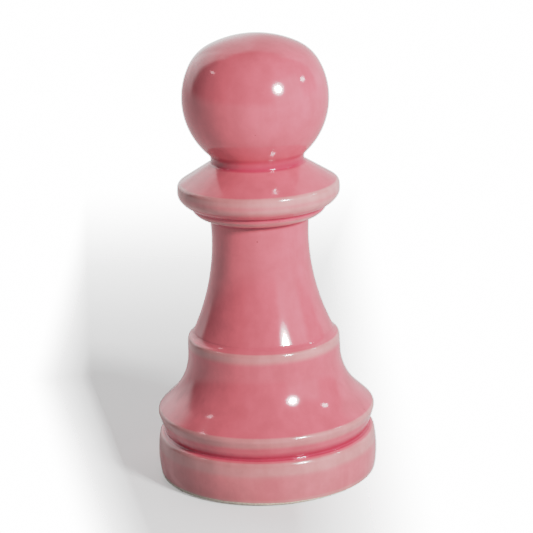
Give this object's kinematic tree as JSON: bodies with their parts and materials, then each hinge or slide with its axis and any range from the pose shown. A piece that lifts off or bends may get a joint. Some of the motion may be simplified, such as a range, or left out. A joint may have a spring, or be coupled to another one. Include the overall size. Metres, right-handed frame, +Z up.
{
  "type": "giant chess pawn",
  "caption": "Glossy pink glazed ceramic pawn: flattened ball head, collar, concave stem, bell skirt and round plinth, hollow, with a rubber drain plug underneath.",
  "frame": {"origin": "centre of the base, on the surface that the felt dots stand on", "axes": "+Z up along the axis of the turned shape, from the base to the head; +X and +Y are arbitrary, with the plug's pull bar along X"},
  "size_m": [0.1497, 0.1496, 0.301],
  "materials": {
    "pink_glaze": "gloss",
    "slip": "matte",
    "plug_rubber": "matte",
    "felt": "matte"
  },
  "bodies": {
    "pawn": {"plinth_shell": "pink_glaze", "skirt_shell": "pink_glaze", "stem_shell": "pink_glaze", "neck_ring": "pink_glaze", "collar": "pink_glaze", "head_shell": "pink_glaze", "base_luting": "slip", "ring_luting": "slip", "stem_luting": "slip", "neck_luting": "slip", "head_luting": "slip", "foot_pad_1": "felt", "foot_pad_2": "felt", "foot_pad_3": "felt", "foot_pad_4": "felt"},
    "plug": {"drain_plug": "plug_rubber"}
  },
  "joints": [
    {"name": "plug_pull", "type": "slide", "parent": "pawn", "child": "plug", "axis": [0, 0, -1], "range_m": [0, 0.04]}
  ]
}
